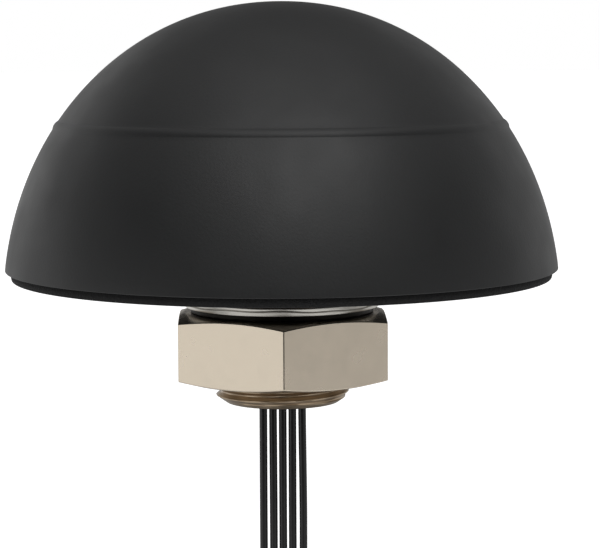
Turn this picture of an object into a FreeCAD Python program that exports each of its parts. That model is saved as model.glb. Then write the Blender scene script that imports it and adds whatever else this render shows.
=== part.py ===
import FreeCAD, Part
import math
import os

# A stud-mounted dome antenna with five coaxial leads. Millimetres, +Z up along the dome's axis.
# The origin is the centre of the mounting face, which is the underside of the foam gasket.
# What is above the face stands on the roof. The stud, its washers, its nut and the leads are below.

V = FreeCAD.Vector
UP = V(0, 0, 1)

# ---- dome: its outline is r = a*cos(t)^(2/p), z = level + b*sin(t)^(2/p)
outline_radius = 62.15  # a, the outline's widest radius
outline_level = -7.95  # height of that widest place, below the rim, which gives the side its draft
outline_power = 2.057  # p, where 2 is an ellipse and more is squarer
dome_height = 61.1  # crown above the mounting face
wall = 2.6
rim_radius = 0.4  # rounding of the rim's lower outer edge
bead_level = 34.1  # middle of the raised bead
bead_height = 1.9
bead_proud = 0.3
outline_points = 12  # interpolation points on each stretch of outline

# ---- gasket, base plate and the screws that close the shell
gasket_thickness = 2.0
gasket_inset = 1.286  # how far the gasket's edge stands in from the rim
gasket_hole_gap = 2.6  # between the stud and the gasket's hole
plate_thickness = 3.0
plate_gap = 0.3  # between the plate's edge and the shell
seal_section = 1.4  # square section of the ring in the plate's edge
shell_screw_inset = 15.15  # from the outline's widest radius to the circle of screws
shell_boss_radius = 3.6
shell_screw_depth = 9.0  # thread length in the boss
shell_screw_shank = 1.3
shell_screw_hole = 1.7
shell_screw_head = 3.0
shell_screw_head_height = 1.6
screw_count = 4

# ---- stud, nut and washers
stud_radius = 15.0
stud_length = 28.2  # below the mounting face
stud_chamfer_width = 2.3
stud_chamfer_height = 1.6
stud_wall = 5.5
flange_overhang = 6.0
flange_thickness = 3.0
flange_flat_overhang = 3.0
flange_key_width = 3.0
flange_key_length = 16.0
plate_hole_clearance = 0.1
stud_seal_gap = 2.2  # between the stud and its seal
stud_seal_width = 2.2
stud_seal_height = 1.1
running_clearance = 0.05
nut_across_flats = 46.0
nut_height = 15.2
nut_face_inset = 0.9  # from a flat in to the edge of the nut's round end face
nut_chamfer_degrees = 15.4
nut_clocking = 1.2  # degrees that the nut stands turned from square
nut_mouth = 1.2  # countersink at each end of the nut's thread
lock_washer_thickness = 1.3
lock_washer_inset = 2.5  # from the nut's flat in to the washer's edge
lock_washer_play = 0.5
lock_tooth_reach = 0.52  # of the washer's width that its teeth take
lock_tooth_count = 24
lock_tooth_share = 0.55  # of each tooth's pitch that is metal
flat_washer_thickness = 1.8
flat_washer_inset = 1.0  # from the nut's flat in to the washer's edge
flat_washer_play = 0.4
panel_gap = 4.8  # open space left for the roof sheet, gasket to flat washer

# ---- electronics
plane_thickness = 1.2
plane_inset = 12.15  # from the outline's widest radius
plane_hole_radius = 12.0
standoff_height = 4.0
standoff_inset = 22.15
standoff_radius = 3.5
standoff_pilot = 1.05
standoff_pilot_depth = 5.0
plane_screw_spare = 0.5  # below the screw's tip
plane_screw_hole = 1.4
plane_screw_head = 2.5
plane_screw_head_height = 1.8
boss_notch_gap = 0.6
element_gap = 2.0  # between an element's edge and the shell's inside
element_thickness = 1.0
cellular_inset = 27.15
cellular_half_width = 27.0
cellular_drop = 19.1  # below the crown
wifi_inset = 29.15
wifi_half_width = 13.0
wifi_drop = 27.1
mast_leg = 4.0
mast_half_span = 17.0
mast_plate_thickness = 2.0
mast_window_half = 11.0
crown_gap = 6.0  # between the satellite patch and the shell's crown
gnss_board_half = 17.5
gnss_board_thickness = 1.2
patch_half = 12.5
patch_thickness = 4.0
can_half = 9.5
can_height = 3.5
can_wall = 0.3

# ---- leads
lead_count = 5
lead_diameter = 1.8
lead_gap = 0.38  # between one lead and the next
lead_bend_share = 0.31  # bend radius, as a share of the longer level run
lead_drop = 3.8  # straight part of a lead's way down to the ground plane
lead_to_element = 6.0
gland_length = 10.0
gland_recess = 1.8  # from the stud's end up to the gland's face
guide_rim_width = 1.9
guide_rim_height = 1.0
ferrule_radius = 1.6
ferrule_height = 3.0

# ---- the tied hank below, and the plugs
hank_top = -69.0
hank_shoulder = -76.0
hank_shoulder_width = 3.0
tie_level = -91.0
tie_height = 4.8
hank_hip = -105.0
hank_bottom = -114.0
tail_bottom = -126.0
hank_top_half = 15.2
hank_waist_half = 5.2
hank_hip_left = -9.8
hank_hip_right = 9.8
hank_hip_width = 5.0
hank_tail_front = -1.5
hank_tail_margin = 1.6  # behind the rear row of plugs
hank_tail_side = 1.1  # beyond the outermost plugs
tie_thickness = 1.0
tie_head_depth = 3.4
tie_head_length = 5.6
tie_head_height = 6.4
tie_tail_length = 2.4
tie_tail_gap = 0.6  # between the band and its cut end
plug_gap = 1.16  # between the corners of two plug nuts
boot_length = 12.0
boot_mouth_wall = 0.8
boot_wall = 0.8
boot_shoulder = 5.0  # from the boot's mouth to where it covers the ferrule
crimp_wall = 0.7
collar_length = 4.0
collar_step = 0.15
neck_radius = 2.55
snap_step = 0.4
snap_height = 0.8
nose_step = 0.1
nose_wall = 0.4
plug_nut_wall = 1.0  # outside the snap ring, at a flat
plug_nut_length = 8.0
plug_nut_gap = 0.6  # between the collar and the plug nut's back
plug_nut_back = 1.5
axial_gap = 0.1
pin_radius = 0.46
pin_root_radius = 0.63
insulator_recess = 1.4
insulator_cover = 1.0  # metal above the insulator
pin_cover = 1.5  # insulator above the pin
nose_recess = 1.2
pin_tip = 1.6

# ---- sizes that follow from the sizes above
stud_bore_radius = stud_radius - stud_wall
flange_radius = stud_radius + flange_overhang
flange_half_flats = stud_radius + flange_flat_overhang
gasket_hole_radius = stud_radius + gasket_hole_gap
stud_seal_inner = stud_radius + stud_seal_gap
stud_seal_outer = stud_seal_inner + stud_seal_width
guide_rim_radius = stud_bore_radius + guide_rim_width
nut_face_radius = nut_across_flats / 2 - nut_face_inset
flat_washer_radius = nut_across_flats / 2 - flat_washer_inset
flat_washer_bore = stud_radius + flat_washer_play
lock_washer_radius = nut_across_flats / 2 - lock_washer_inset
lock_washer_bore = stud_radius + lock_washer_play
lock_tooth_depth = (lock_washer_radius - lock_washer_bore) * lock_tooth_reach
shell_screw_circle = outline_radius - shell_screw_inset
plane_radius = outline_radius - plane_inset
standoff_circle = outline_radius - standoff_inset
cellular_offset = outline_radius - cellular_inset
wifi_offset = outline_radius - wifi_inset
cellular_lead_reach = cellular_offset - lead_to_element
wifi_lead_reach = wifi_offset - lead_to_element
lead_pitch = lead_diameter + lead_gap
lead_radius = lead_diameter / 2
lead_bend = cellular_lead_reach * lead_bend_share
middle_lead = (lead_count + 1) // 2
crimp_radius = lead_radius + crimp_wall
boot_top_radius = lead_radius + boot_mouth_wall
boot_radius = crimp_radius + boot_wall
collar_radius = neck_radius + collar_step
snap_radius = neck_radius + snap_step
nose_radius = neck_radius - nose_step
socket_radius = nose_radius - nose_wall
plug_nut_flats = 2 * (snap_radius + running_clearance + plug_nut_wall)
plug_pitch = plug_nut_flats * 2 / math.sqrt(3) + plug_gap
plug_row_gap = plug_pitch * math.sqrt(3) / 2  # the plugs stand in a triangular pattern
hank_tail_rear = plug_row_gap + hank_tail_margin
hank_tail_half = plug_pitch + hank_tail_side

# ---- levels that follow
plate_bottom = gasket_thickness
plate_top = plate_bottom + plate_thickness
flange_top = plate_top + flange_thickness
plane_bottom = plate_top + standoff_height
plane_top = plane_bottom + plane_thickness
crown_inside = dome_height - wall
patch_top = crown_inside - crown_gap
patch_bottom = patch_top - patch_thickness
mast_top = patch_bottom - gnss_board_thickness
can_bottom = mast_top - can_height
cellular_top = dome_height - cellular_drop
wifi_top = dome_height - wifi_drop
lead_rise = plane_top + lead_bend + lead_drop
flat_washer_bottom = -panel_gap - flat_washer_thickness
nut_top = flat_washer_bottom - lock_washer_thickness
nut_bottom = nut_top - nut_height
gland_face = gland_recess - stud_length
gland_top = gland_face + gland_length


# ---- helpers
def save(name, shape):
    """Writes one sub-part as parts/NAME.step, in the model's own frame."""
    shape.exportStep(f"parts/{name}.step")


def cylinder(radius, bottom, top, x=0.0, y=0.0):
    """An upright cylinder between two levels."""
    return Part.makeCylinder(radius, top - bottom, V(x, y, bottom), UP)


def cone(radius_bottom, radius_top, bottom, top, x=0.0, y=0.0):
    """An upright truncated cone between two levels."""
    return Part.makeCone(radius_bottom, radius_top, top - bottom, V(x, y, bottom), UP)


def ring(outer, inner, bottom, top, x=0.0, y=0.0):
    """A plain ring of rectangular section."""
    return cylinder(outer, bottom, top, x, y).cut(cylinder(inner, bottom - 1, top + 1, x, y))


def block(x0, x1, y0, y1, z0, z1):
    """A box from its lowest corner to its highest."""
    return Part.makeBox(x1 - x0, y1 - y0, z1 - z0, V(x0, y0, z0))


def turned(points, x=0.0, y=0.0):
    """A solid of revolution from (radius, height) corners, on an axis through (x, y)."""
    corners = [V(x + r, y, z) for r, z in points]
    face = Part.Face(Part.makePolygon(corners + corners[:1]))
    return face.revolve(V(x, y, 0), UP, 360)


def hexagon(across_flats, bottom, top, x=0.0, y=0.0, turn=0.0):
    """A hexagonal prism with one corner towards -Y, or turned by some degrees from there."""
    reach = across_flats / math.sqrt(3)
    angles = [math.radians(60 * k - 90 + turn) for k in range(6)]
    corners = [V(x + reach * math.cos(a), y + reach * math.sin(a), bottom) for a in angles]
    face = Part.Face(Part.makePolygon(corners + corners[:1]))
    return face.extrude(V(0, 0, top - bottom))


def around(count, radius, start=0.0):
    """Places evenly spaced on a circle, as (x, y), the first at the angle start."""
    angles = [math.radians(start + 360 * k / count) for k in range(count)]
    return [(radius * math.cos(a), radius * math.sin(a)) for a in angles]


def less(shape, *tools):
    """The shape with each tool cut away."""
    for tool in tools:
        shape = shape.cut(tool)
    return shape


def outline_angle(z, inset=0.0):
    """The outline's parameter t at a height."""
    share = (z - outline_level) / (dome_height - inset - outline_level)
    return math.asin(share ** (outline_power / 2))


def outline_point(t, inset=0.0):
    """A point of the outline, moved in by inset, in the XZ plane."""
    half_width = outline_radius - inset
    height = dome_height - inset - outline_level
    r = half_width * math.cos(t) ** (2 / outline_power) if math.cos(t) > 1e-9 else 0.0
    return V(r, 0, outline_level + height * math.sin(t) ** (2 / outline_power))


def outline_edge(z_from, z_to, inset=0.0):
    """A smooth edge along the outline between two heights. The top of the dome is z_to = None."""
    t0 = outline_angle(z_from, inset)
    t1 = math.pi / 2 if z_to is None else outline_angle(z_to, inset)
    steps = [t0 + (t1 - t0) * k / (outline_points - 1) for k in range(outline_points)]
    points = [outline_point(t, inset) for t in steps]
    start = outline_point(t0 + 1e-4, inset) - points[0]
    end = V(-1, 0, 0) if z_to is None else points[-1] - outline_point(t1 - 1e-4, inset)
    spline = Part.BSplineCurve()
    spline.interpolate(Points=points, InitialTangent=start.normalize(), FinalTangent=end.normalize())
    return spline.toShape()


def shell_inside_radius(z):
    return outline_point(outline_angle(z, wall), wall).x


def line(a, b):
    return Part.LineSegment(a, b).toShape()


def inside_of_shell(inset, bottom):
    """The solid that fills the dome from a level up, inset from the outer surface."""
    edge = outline_edge(bottom, None, inset)
    start = outline_point(outline_angle(bottom, inset), inset)
    crown = V(0, 0, dome_height - inset)
    wire = Part.Wire([edge, line(crown, V(0, 0, bottom)), line(V(0, 0, bottom), start)])
    return Part.Face(wire).revolve(V(0, 0, 0), UP, 360)


def tube_along(points, radius, bend):
    """A round tube along straight runs joined by tangent arcs of one bend radius.

    Returns the tube and its length."""
    edges = []
    at = points[0]
    for before, corner, after in zip(points, points[1:], points[2:]):
        u = (corner - before).normalize()
        w = (after - corner).normalize()
        turn = u.getAngle(w)
        back = bend * math.tan(turn / 2)
        enter = corner - u * back
        leave = corner + w * back
        middle = (w - u).normalize()
        through = corner + middle * (bend / math.cos(turn / 2) - bend)
        edges.append(line(at, enter))
        edges.append(Part.Arc(enter, through, leave).toShape())
        at = leave
    edges.append(line(at, points[-1]))
    path = Part.Wire(edges)
    start = (points[1] - points[0]).normalize()
    section = Part.Wire([Part.makeCircle(radius, points[0], start)])
    tube = path.makePipeShell([section], True, False)
    return tube, path.Length


def lead_x(number):
    """The leads stand in one flat row along X."""
    return (number - middle_lead) * lead_pitch


def plug_place(number):
    """The odd plugs hang in the front row, and the even ones between them in the row behind."""
    row = plug_row_gap if number % 2 == 0 else 0.0
    return (number - middle_lead) * plug_pitch / 2, row


leads = range(1, lead_count + 1)


# ---- shell
def radome_shell():
    """The outer shell: the outline with its wall, the raised bead and four screw bosses."""
    low, high = bead_level - bead_height / 2, bead_level + bead_height / 2
    rim_in = outline_point(outline_angle(plate_bottom, wall), wall)
    rim_out = outline_point(outline_angle(plate_bottom, 0.0))
    side_start = outline_point(outline_angle(plate_bottom + rim_radius))
    rim_start = V(rim_out.x - rim_radius, 0, plate_bottom)
    rim_centre = V(rim_start.x, 0, plate_bottom + rim_radius)
    rim_middle = rim_centre + V(1, 0, -1).normalize() * rim_radius
    bead_from = outline_point(outline_angle(low))
    bead_to = outline_point(outline_angle(high))
    chord = bead_to - bead_from
    outward = V(chord.z, 0, -chord.x).normalize()
    bead_top = (bead_from + bead_to) * 0.5 + outward * bead_proud
    edges = [
        line(rim_in, rim_start),
        Part.Arc(rim_start, rim_middle, side_start).toShape(),
        outline_edge(plate_bottom + rim_radius, low),
        Part.Arc(bead_from, bead_top, bead_to).toShape(),
        outline_edge(high, None),
        line(V(0, 0, dome_height), V(0, 0, crown_inside)),
        outline_edge(plate_bottom, None, wall),
    ]
    wire = Part.Wire(Part.__sortEdges__(edges))
    shell = Part.Face(wire).revolve(V(0, 0, 0), UP, 360)
    room = inside_of_shell(wall / 2, plate_bottom)
    pilot_top = plate_top + shell_screw_depth
    for x, y in around(screw_count, shell_screw_circle, 45):
        boss = cylinder(shell_boss_radius, plate_top, dome_height, x, y).common(room)
        shell = shell.fuse(boss)
        shell = shell.cut(cylinder(shell_screw_shank, plate_top - 1, pilot_top, x, y))
    return shell.removeSplitter()


# ---- base
def plate_edge_radius():
    """The plate's edge stands off the shell's inside by the named gap, even at its top."""
    return shell_inside_radius(plate_top) - plate_gap


def seal_levels():
    middle = plate_bottom + plate_thickness / 2
    return middle - seal_section / 2, middle + seal_section / 2


def base_plate():
    """The floor that closes the dome: stud pocket, standoffs, countersunk holes, seal groove."""
    edge = plate_edge_radius()
    low, high = seal_levels()
    plate = cylinder(edge, plate_bottom, plate_top)
    plate = plate.cut(ring(edge + 1, edge - seal_section + plate_gap, low, high))
    for x, y in around(screw_count, standoff_circle):
        plate = plate.fuse(cylinder(standoff_radius, plate_bottom, plane_bottom, x, y))
    for side in (-1, 1):
        x0, x1 = sorted((side * flange_half_flats, side * (flange_half_flats + flange_key_width)))
        half = flange_key_length / 2
        plate = plate.fuse(block(x0, x1, -half, half, plate_bottom, flange_top))
    plate = less(
        plate,
        cylinder(stud_radius + plate_hole_clearance, plate_bottom - 1, plate_top + 1),
        ring(stud_seal_outer, stud_seal_inner, plate_top - stud_seal_height, plate_top),
    )
    head_top = plate_bottom + shell_screw_head_height
    for x, y in around(screw_count, shell_screw_circle, 45):
        plate = plate.cut(cylinder(shell_screw_hole, plate_bottom - 1, plate_top + 1, x, y))
        plate = plate.cut(cone(shell_screw_head, shell_screw_hole, plate_bottom, head_top, x, y))
    for x, y in around(screw_count, standoff_circle):
        pilot = cylinder(standoff_pilot, plane_bottom - standoff_pilot_depth, plane_bottom + 1, x, y)
        plate = plate.cut(pilot)
    return plate


def shell_seal():
    """The square ring in the plate's edge groove, pressed against the shell's inside."""
    low, high = seal_levels()
    inner = plate_edge_radius() - seal_section + plate_gap
    return ring(shell_inside_radius(high), inner, low, high)


def stud_seal():
    return ring(stud_seal_outer, stud_seal_inner, plate_top - stud_seal_height, plate_top)


def mounting_gasket():
    """The foam ring under the plate, its edge a little in from the shell's rim."""
    rim = outline_point(outline_angle(plate_bottom)).x
    return ring(rim - gasket_inset, gasket_hole_radius, 0, gasket_thickness)


def shell_screws():
    """Countersunk screws that go up through the plate into the shell's bosses."""
    head_top = plate_bottom + shell_screw_head_height
    solids = []
    for x, y in around(screw_count, shell_screw_circle, 45):
        tip = plate_top + shell_screw_depth
        screw = cone(shell_screw_head, shell_screw_shank, plate_bottom, head_top, x, y)
        solids.append(screw.fuse(cylinder(shell_screw_shank, head_top, tip, x, y)))
    return Part.makeCompound(solids)


# ---- stud, washers and nut
def threaded_stud():
    """The hollow stud with its flange on top of the plate. The flats stop it turning."""
    end = -stud_length
    stud = turned(
        [
            (stud_bore_radius, end),
            (stud_radius - stud_chamfer_width, end),
            (stud_radius, end + stud_chamfer_height),
            (stud_radius, plate_top),
            (flange_radius, plate_top),
            (flange_radius, flange_top),
            (stud_bore_radius, flange_top),
        ]
    )
    across, along = flange_half_flats, flange_radius
    flats = block(-across, across, -along, along, end - 1, flange_top + 1)
    return stud.common(flats)


def flat_washer():
    return ring(flat_washer_radius, flat_washer_bore, flat_washer_bottom, -panel_gap)


def lock_washer():
    """A flat ring with internal teeth, between the nut and the flat washer."""
    root = lock_washer_bore + lock_tooth_depth
    washer = ring(lock_washer_radius, lock_washer_bore, nut_top, flat_washer_bottom)
    half = math.pi * root / lock_tooth_count * (1 - lock_tooth_share)
    gap = block(lock_washer_bore - 2, root, -half, half, nut_top - 1, flat_washer_bottom + 1)
    for k in range(lock_tooth_count):
        washer = washer.cut(gap.rotated(V(0, 0, 0), UP, 360 * (k + 0.5) / lock_tooth_count))
    return washer


def hex_nut():
    """A hexagon with its corners turned off at both ends, and a countersunk bore."""
    slope = math.tan(math.radians(nut_chamfer_degrees))
    far = nut_across_flats
    drop = (far - nut_face_radius) * slope
    middle = (nut_top + nut_bottom) / 2
    turned_limit = turned(
        [
            (0, nut_bottom),
            (nut_face_radius, nut_bottom),
            (far, min(nut_bottom + drop, middle - 0.1)),
            (far, max(nut_top - drop, middle + 0.1)),
            (nut_face_radius, nut_top),
            (0, nut_top),
        ]
    )
    bore = stud_radius + running_clearance
    mouth = bore + nut_mouth
    return less(
        hexagon(nut_across_flats, nut_bottom, nut_top, turn=nut_clocking).common(turned_limit),
        cylinder(bore, nut_bottom - 1, nut_top + 1),
        cone(mouth, bore, nut_bottom, nut_bottom + nut_mouth),
        cone(bore, mouth, nut_top - nut_mouth, nut_top),
    )


# ---- electronics
def ground_plane():
    """The round sheet that carries the antenna elements, notched round the shell's bosses."""
    plane = ring(plane_radius, plane_hole_radius, plane_bottom, plane_top)
    for x, y in around(screw_count, shell_screw_circle, 45):
        notch = cylinder(shell_boss_radius + boss_notch_gap, plane_bottom - 1, plane_top + 1, x, y)
        plane = plane.cut(notch)
    for x, y in around(screw_count, standoff_circle):
        plane = plane.cut(cylinder(plane_screw_hole, plane_bottom - 1, plane_top + 1, x, y))
    half = shell_boss_radius
    slot = block(shell_screw_circle, plane_radius + 1, -half, half, plane_bottom - 1, plane_top + 1)
    for k in range(screw_count):
        plane = plane.cut(slot.rotated(V(0, 0, 0), UP, 45 + 360 * k / screw_count))
    return plane


def plane_screws():
    solids = []
    for x, y in around(screw_count, standoff_circle):
        tip = plane_bottom - standoff_pilot_depth + plane_screw_spare
        head = cylinder(plane_screw_head, plane_top, plane_top + plane_screw_head_height, x, y)
        solids.append(head.fuse(cylinder(standoff_pilot, tip, plane_top, x, y)))
    return Part.makeCompound(solids)


def upright_board(offset, half_width, top, along_x):
    """A flat element board standing on the ground plane, its upper corners inside the dome."""
    near, far = sorted((offset - element_thickness / 2, offset + element_thickness / 2))
    if along_x:
        board = block(-half_width, half_width, near, far, plane_top, top)
    else:
        board = block(near, far, -half_width, half_width, plane_top, top)
    board = board.common(inside_of_shell(wall + element_gap, plate_top))
    for x, y in around(screw_count, shell_screw_circle, 45):
        board = board.cut(cylinder(shell_boss_radius + element_gap, plane_top - 1, top + 1, x, y))
    return board


def element_mast():
    """Four legs and a windowed plate that hold the satellite patch near the crown."""
    span = mast_half_span
    floor = mast_top - mast_plate_thickness
    mast = block(-span, span, -span, span, floor, mast_top)
    window = mast_window_half
    mast = mast.cut(block(-window, window, -window, window, floor - 1, mast_top + 1))
    for sx in (-1, 1):
        for sy in (-1, 1):
            x0, x1 = sorted((sx * span, sx * (span - mast_leg)))
            y0, y1 = sorted((sy * span, sy * (span - mast_leg)))
            mast = mast.fuse(block(x0, x1, y0, y1, plane_top, floor))
    return mast.removeSplitter()


def square_slab(half, bottom, top):
    return block(-half, half, -half, half, bottom, top)


def shield_can():
    """The tin can under the satellite board, open towards it, with a hole for the middle lead."""
    can = square_slab(can_half, can_bottom, mast_top)
    can = can.cut(square_slab(can_half - can_wall, can_bottom + can_wall, mast_top + 1))
    return can.cut(cylinder(lead_radius, can_bottom - 1, can_bottom + 1))


# ---- leads and what holds them
def lead_holes(bottom, top):
    return [cylinder(lead_radius, bottom - 1, top + 1, lead_x(n)) for n in leads]


def lead_gland():
    """The potting plug near the stud's end that seals the leads."""
    plug = cylinder(stud_bore_radius, gland_face, gland_top)
    return less(plug, *lead_holes(gland_face, gland_top))


def lead_guide():
    """The insert in the stud's upper mouth that keeps the leads in their row."""
    insert = cylinder(stud_bore_radius, plate_top, flange_top)
    insert = insert.fuse(cylinder(guide_rim_radius, flange_top, flange_top + guide_rim_height))
    return less(insert, *lead_holes(plate_top, flange_top + guide_rim_height))


def inner_route(number):
    """Up through the stud, level to its element, and down to the ground plane.

    The middle lead goes straight up into the shield can."""
    x = lead_x(number)
    start = V(x, 0, gland_face)
    if number == middle_lead:
        return [start, V(x, 0, can_bottom + can_wall)]
    sideways = number in (1, lead_count)
    away = math.copysign(1, x)
    if sideways:
        end_x, end_y = away * cellular_lead_reach, 0.0
    else:
        end_x, end_y = x, away * wifi_lead_reach
    turn_up = V(x, 0, lead_rise)
    turn_down = V(end_x, end_y, lead_rise)
    return [start, turn_up, turn_down, V(end_x, end_y, plane_top)]


def lead_ferrules():
    """The soldered sleeves where four leads meet the ground plane."""
    solids = []
    for number in leads:
        if number == middle_lead:
            continue
        end = inner_route(number)[-1]
        top = plane_top + ferrule_height
        solids.append(ring(ferrule_radius, lead_radius, plane_top, top, end.x, end.y))
    return Part.makeCompound(solids)


def lead_hank():
    """The outer shape of the folded and tied leads, and of their tails down to the boots."""
    reach = lead_x(lead_count) + lead_radius
    side = [
        (-hank_top_half, hank_shoulder),
        (-hank_top_half + hank_shoulder_width, hank_top),
        (hank_top_half - hank_shoulder_width, hank_top),
        (hank_top_half, hank_shoulder),
        (hank_waist_half, tie_level + tie_height / 2),
        (hank_waist_half, tie_level - tie_height / 2),
        (hank_hip_right, hank_hip),
        (hank_tail_rear, hank_bottom),
        (hank_hip_left + hank_hip_width, hank_bottom),
        (hank_hip_left, hank_hip),
        (-hank_waist_half, tie_level - tie_height / 2),
        (-hank_waist_half, tie_level + tie_height / 2),
    ]
    corners = [V(-reach, y, z) for y, z in side]
    face = Part.Face(Part.makePolygon(corners + corners[:1]))
    body = face.extrude(V(2 * reach, 0, 0))

    def section(half, z):
        low, high = hank_tail_front, hank_tail_rear
        places = [(-half, low), (half, low), (half, high), (-half, high)]
        points = [V(x, y, z) for x, y in places]
        return Part.makePolygon(points + points[:1])

    tails = Part.makeLoft([section(reach, hank_bottom), section(hank_tail_half, tail_bottom)], True, True)
    return body.fuse(tails).removeSplitter()


def hank_tie():
    """The band round the hank's waist, its head on the right and the cut end of its tail."""
    reach = lead_x(lead_count) + lead_radius
    low, high = tie_level - tie_height / 2, tie_level + tie_height / 2
    out_x, out_y = reach + tie_thickness, hank_waist_half + tie_thickness
    half = tie_head_length / 2
    head_low, head_high = tie_level - tie_head_height / 2, tie_level + tie_head_height / 2
    tail_x = out_x + tie_tail_gap
    band = block(-out_x, out_x, -out_y, out_y, low, high)
    band = band.fuse(block(reach, out_x + tie_head_depth, -half, half, head_low, head_high))
    band = band.fuse(block(tail_x, tail_x + tie_thickness, -half - tie_tail_length, half, low, high))
    return band.cut(block(-reach, reach, -hank_waist_half, hank_waist_half, head_low - 1, head_high + 1))


# ---- plugs: levels run down from the boot's mouth
crimp_top = tail_bottom - boot_shoulder
collar_top = tail_bottom - boot_length
collar_bottom = collar_top - collar_length
plug_nut_top = collar_bottom - plug_nut_gap
plug_nut_bottom = plug_nut_top - plug_nut_length
snap_top = plug_nut_top - plug_nut_back - axial_gap
snap_bottom = snap_top - snap_height
nose_bottom = plug_nut_bottom + nose_recess
insulator_bottom = nose_bottom + insulator_recess
insulator_top = collar_top - insulator_cover
pin_bottom = insulator_bottom - pin_tip
pin_top = insulator_top - pin_cover


def plug_boot(x, y):
    return turned(
        [
            (lead_radius, tail_bottom),
            (boot_top_radius, tail_bottom),
            (boot_radius, crimp_top),
            (boot_radius, collar_top),
            (crimp_radius, collar_top),
            (crimp_radius, crimp_top),
            (lead_radius, crimp_top),
        ],
        x,
        y,
    )


def plug_body(x, y):
    """Crimp sleeve, collar, neck, snap ring and nose, bored for the insulator."""
    body = turned(
        [
            (0, crimp_top),
            (crimp_radius, crimp_top),
            (crimp_radius, collar_top),
            (collar_radius, collar_top),
            (collar_radius, collar_bottom),
            (neck_radius, collar_bottom),
            (neck_radius, snap_top),
            (snap_radius, snap_top),
            (snap_radius, snap_bottom),
            (nose_radius, snap_bottom),
            (nose_radius, nose_bottom),
            (0, nose_bottom),
        ],
        x,
        y,
    )
    return body.cut(cylinder(socket_radius, nose_bottom - 1, insulator_top, x, y))


def plug_nut(x, y):
    """The hexagonal coupling nut, which turns on the neck and is held by the snap ring."""
    corner = plug_nut_flats / math.sqrt(3)
    flat = plug_nut_flats / 2
    bevel = corner - flat
    limit = turned(
        [
            (0, plug_nut_bottom),
            (flat, plug_nut_bottom),
            (corner, plug_nut_bottom + bevel),
            (corner, plug_nut_top - bevel),
            (flat, plug_nut_top),
            (0, plug_nut_top),
        ],
        x,
        y,
    )
    inside = plug_nut_top - plug_nut_back
    return less(
        hexagon(plug_nut_flats, plug_nut_bottom, plug_nut_top, x, y).common(limit),
        cylinder(neck_radius + running_clearance, plug_nut_bottom - 1, plug_nut_top + 1, x, y),
        cylinder(snap_radius + running_clearance, plug_nut_bottom - 1, inside, x, y),
    )


def plug_insulator(x, y):
    core = cylinder(socket_radius, insulator_bottom, insulator_top, x, y)
    return core.cut(cylinder(pin_root_radius, insulator_bottom - 1, pin_top, x, y))


def plug_pin(x, y):
    root = cylinder(pin_root_radius, insulator_bottom, pin_top, x, y)
    return root.fuse(cylinder(pin_radius, pin_bottom, insulator_bottom, x, y))


# ---- build
os.makedirs("parts", exist_ok=True)

save("radome_shell", radome_shell())
save("base_plate", base_plate())
save("shell_seal", shell_seal())
save("stud_seal", stud_seal())
save("mounting_gasket", mounting_gasket())
save("shell_screws", shell_screws())
save("threaded_stud", threaded_stud())
save("flat_washer", flat_washer())
save("lock_washer", lock_washer())
save("hex_nut", hex_nut())
save("ground_plane", ground_plane())
save("ground_plane_screws", plane_screws())
save("cellular_element_left", upright_board(-cellular_offset, cellular_half_width, cellular_top, False))
save("cellular_element_right", upright_board(cellular_offset, cellular_half_width, cellular_top, False))
save("wifi_element_front", upright_board(-wifi_offset, wifi_half_width, wifi_top, True))
save("wifi_element_rear", upright_board(wifi_offset, wifi_half_width, wifi_top, True))
save("element_mast", element_mast())
save("gnss_board", square_slab(gnss_board_half, mast_top, patch_bottom))
save("gnss_patch", square_slab(patch_half, patch_bottom, patch_top))
save("gnss_shield_can", shield_can())
save("lead_gland", lead_gland())
save("lead_guide", lead_guide())
save("lead_ferrules", lead_ferrules())

for number in leads:
    tube, length = tube_along(inner_route(number), lead_radius, lead_bend)
    expected = math.pi * lead_radius**2 * length
    share = tube.Volume / expected
    print(f"lead_{number}_inner: bend {lead_bend:.2f} mm, volume over section times length {share:.4f}")
    save(f"lead_{number}_inner", tube)
    save(f"lead_{number}", cylinder(lead_radius, hank_top, gland_face, lead_x(number)))

save("lead_hank", lead_hank())
save("hank_tie", hank_tie())

for number in leads:
    save(f"plug_{number}_body", plug_body(*plug_place(number)))
    save(f"plug_{number}_nut", plug_nut(*plug_place(number)))

save("plug_boots", Part.makeCompound([plug_boot(*plug_place(n)) for n in leads]))
save("plug_insulators", Part.makeCompound([plug_insulator(*plug_place(n)) for n in leads]))
save("plug_pins", Part.makeCompound([plug_pin(*plug_place(n)) for n in leads]))
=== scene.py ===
import math

import bpy
import numpy as np
from bpy.props import FloatProperty, FloatVectorProperty, IntProperty, PointerProperty
from bpy.types import Operator, Panel, PropertyGroup
from mathutils import Matrix, Vector


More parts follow.
